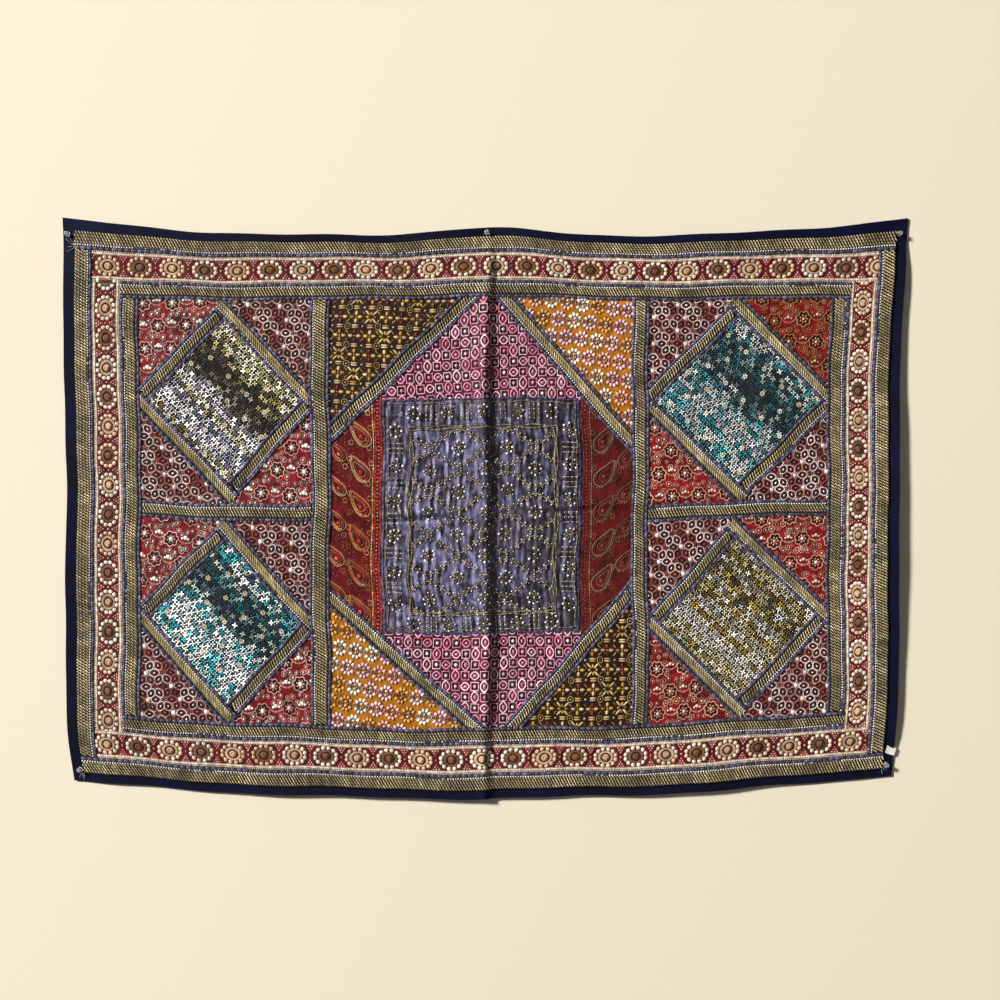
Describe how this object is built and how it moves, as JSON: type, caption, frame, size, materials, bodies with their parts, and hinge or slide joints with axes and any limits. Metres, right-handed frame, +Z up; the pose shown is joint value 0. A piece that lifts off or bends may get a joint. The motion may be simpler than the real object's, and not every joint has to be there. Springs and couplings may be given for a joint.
{
  "type": "patchwork wall hanging",
  "caption": "Landscape patchwork wall hanging: beaded and embroidered patches framed by twisted braid and a brocade border on a navy backing, held by push pins.",
  "frame": {"origin": "middle of the backing's flat rear face, on the wall plane", "axes": "+Y into the wall, +X along the long side, to the right as it is seen from the front, +Z up; the front faces -Y"},
  "size_m": [1.534, 0.022, 1.0516],
  "materials": {
    "navy_cotton": "soft sheen",
    "gold_braid": "twisted metallic thread",
    "brocade": "woven brocade",
    "white_beadwork": "beads and sequins",
    "teal_beadwork": "beads and sequins",
    "gold_beadwork": "beads and sequins",
    "red_floral": "embroidered cotton",
    "ring_lattice": "chain stitch",
    "brown_gold": "gold thread on dark cotton",
    "orange_floral": "embroidered cotton",
    "pink_floral": "embroidered cotton",
    "paisley_red": "embroidered cotton",
    "blue_satin": "puckered satin with couched cord",
    "label_tape": "blank woven tape",
    "clear_plastic": "clear gloss",
    "pin_steel": "polished"
  },
  "bodies": {
    "hanging": {"backing": "navy_cotton", "braid_outer": "gold_braid", "braid_inner": "gold_braid", "brocade_top": "brocade", "brocade_bottom": "brocade", "brocade_left": "brocade", "brocade_right": "brocade", "divider_left": "gold_braid", "divider_right": "gold_braid", "divider_left_middle": "gold_braid", "divider_right_middle": "gold_braid", "left_upper_diamond": "white_beadwork", "left_upper_diamond_braid": "gold_braid", "left_upper_upper_right": "ring_lattice", "left_upper_upper_left": "red_floral", "left_upper_lower_left": "ring_lattice", "left_upper_lower_right": "red_floral", "left_lower_diamond": "teal_beadwork", "left_lower_diamond_braid": "gold_braid", "left_lower_upper_right": "ring_lattice", "left_lower_upper_left": "red_floral", "left_lower_lower_left": "ring_lattice", "left_lower_lower_right": "red_floral", "right_upper_diamond": "teal_beadwork", "right_upper_diamond_braid": "gold_braid", "right_upper_upper_right": "red_floral", "right_upper_upper_left": "ring_lattice", "right_upper_lower_left": "red_floral", "right_upper_lower_right": "ring_lattice", "right_lower_diamond": "gold_beadwork", "right_lower_diamond_braid": "gold_braid", "right_lower_upper_right": "red_floral", "right_lower_upper_left": "ring_lattice", "right_lower_lower_left": "red_floral", "right_lower_lower_right": "ring_lattice", "centre_upper_left": "brown_gold", "centre_upper_left_braid": "gold_braid", "centre_upper_right": "orange_floral", "centre_upper_right_braid": "gold_braid", "centre_lower_left": "orange_floral", "centre_lower_left_braid": "gold_braid", "centre_lower_right": "brown_gold", "centre_lower_right_braid": "gold_braid", "centre_panel": "blue_satin", "centre_paisley_left": "paisley_red", "centre_paisley_right": "paisley_red", "centre_pink_upper": "pink_floral", "centre_pink_lower": "pink_floral", "label": "label_tape"},
    "pin_top_left": {"pin_top_left_handle": "clear_plastic", "pin_top_left_needle": "pin_steel"},
    "pin_top_centre": {"pin_top_centre_handle": "clear_plastic", "pin_top_centre_needle": "pin_steel"},
    "pin_top_right": {"pin_top_right_handle": "clear_plastic", "pin_top_right_needle": "pin_steel"},
    "pin_bottom_left": {"pin_bottom_left_handle": "clear_plastic", "pin_bottom_left_needle": "pin_steel"},
    "pin_bottom_right": {"pin_bottom_right_handle": "clear_plastic", "pin_bottom_right_needle": "pin_steel"}
  },
  "joints": [
    {"name": "top_left_pull", "type": "slide", "parent": "hanging", "child": "pin_top_left", "axis": [0, -1, 0], "range_m": [0, 0.0085]},
    {"name": "top_centre_pull", "type": "slide", "parent": "hanging", "child": "pin_top_centre", "axis": [0, -1, 0], "range_m": [0, 0.0085]},
    {"name": "top_right_pull", "type": "slide", "parent": "hanging", "child": "pin_top_right", "axis": [0, -1, 0], "range_m": [0, 0.0085]},
    {"name": "bottom_left_pull", "type": "slide", "parent": "hanging", "child": "pin_bottom_left", "axis": [0, -1, 0], "range_m": [0, 0.0085]},
    {"name": "bottom_right_pull", "type": "slide", "parent": "hanging", "child": "pin_bottom_right", "axis": [0, -1, 0], "range_m": [0, 0.0085]}
  ]
}
